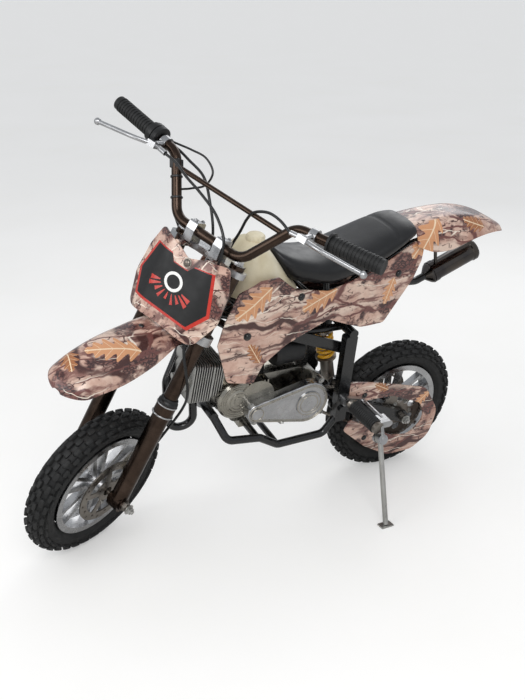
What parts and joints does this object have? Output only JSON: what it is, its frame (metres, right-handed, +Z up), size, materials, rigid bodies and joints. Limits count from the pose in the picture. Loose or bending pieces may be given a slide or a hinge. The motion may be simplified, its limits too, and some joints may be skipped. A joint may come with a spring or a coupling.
{
  "type": "mini dirt bike",
  "caption": "Mini dirt bike parked on its side stand, with camouflage plastics, knobbly spoked wheels, an ivory tank and a long black seat.",
  "frame": {"origin": "middle of the bounding box, on the floor between the two wheels", "axes": "+X the way the bike heads, +Z up, +Y the rider's left, where the side stand is; the bike leans 10.5 degrees to its left on the stand"},
  "size_m": [1.26, 0.6534, 1.0175],
  "materials": {
    "camo_plastic": "satin, printed",
    "black_plastic": "matt",
    "ivory_plastic": "satin",
    "seat_vinyl": "satin",
    "grip_rubber": "matt",
    "tyre_rubber": "matt",
    "bronze_metal": "semi-gloss",
    "black_steel": "satin",
    "silver_alloy": "satin",
    "cast_alloy": "rough",
    "steel": "satin",
    "dark_chrome": "polished",
    "yellow_paint": "gloss"
  },
  "bodies": {
    "frame": {"frame_spine": "black_steel", "frame_cradle": "black_steel", "frame_subframe": "black_steel", "swingarm": "black_steel", "shock_body": "steel", "shock_spring": "yellow_paint", "engine_crankcase": "cast_alloy", "engine_cylinder": "cast_alloy", "flywheel_cover": "silver_alloy", "drive_cover": "silver_alloy", "carburettor": "black_plastic", "exhaust_header": "black_steel", "muffler": "dark_chrome", "front_sprocket": "steel", "drive_chain": "steel", "fuel_tank": "ivory_plastic", "fuel_cap": "ivory_plastic", "seat": "seat_vinyl", "left_side_panel": "camo_plastic", "right_side_panel": "camo_plastic", "tail_fender": "camo_plastic", "chain_guard": "camo_plastic", "left_footpeg": "steel", "right_footpeg": "steel", "stand_bracket": "silver_alloy", "rear_axle": "steel"},
    "steering": {"lower_clamp": "silver_alloy", "upper_clamp": "silver_alloy", "fork_tubes": "bronze_metal", "fork_legs": "bronze_metal", "bar_clamps": "silver_alloy", "handlebar": "bronze_metal", "grips": "grip_rubber", "levers": "silver_alloy", "throttle_housing": "black_plastic", "control_cables": "black_plastic", "number_plate": "camo_plastic", "front_fender": "camo_plastic", "front_caliper": "cast_alloy", "front_axle": "steel"},
    "front_wheel": {"front_tyre": "tyre_rubber", "front_rim": "silver_alloy", "front_disc": "steel"},
    "rear_wheel": {"rear_tyre": "tyre_rubber", "rear_rim": "silver_alloy", "rear_disc": "steel", "rear_sprocket": "steel"},
    "side_stand": {"side_stand": "steel"}
  },
  "joints": [
    {"name": "steering", "type": "hinge", "parent": "frame", "child": "steering", "pos_m": [0.19503, -0.06474, 0.6341], "axis": [-0.4208, 0.1653, 0.892], "range_deg": [-52, 0]},
    {"name": "front_wheel_spin", "type": "hinge", "parent": "steering", "child": "front_wheel", "pos_m": [0.45012, -0.12845, 0.18326], "axis": [-0.3977, 0.8501, -0.3452], "continuous": true},
    {"name": "rear_wheel_spin", "type": "hinge", "parent": "frame", "child": "rear_wheel", "pos_m": [-0.3878, -0.14697, 0.19037], "axis": [0, 0.9833, -0.1822], "continuous": true},
    {"name": "side_stand_fold", "type": "hinge", "parent": "frame", "child": "side_stand", "pos_m": [-0.21767, 0.05716, 0.21626], "axis": [0.0009, 0.9681, 0.2504], "range_deg": [0, 86]}
  ]
}
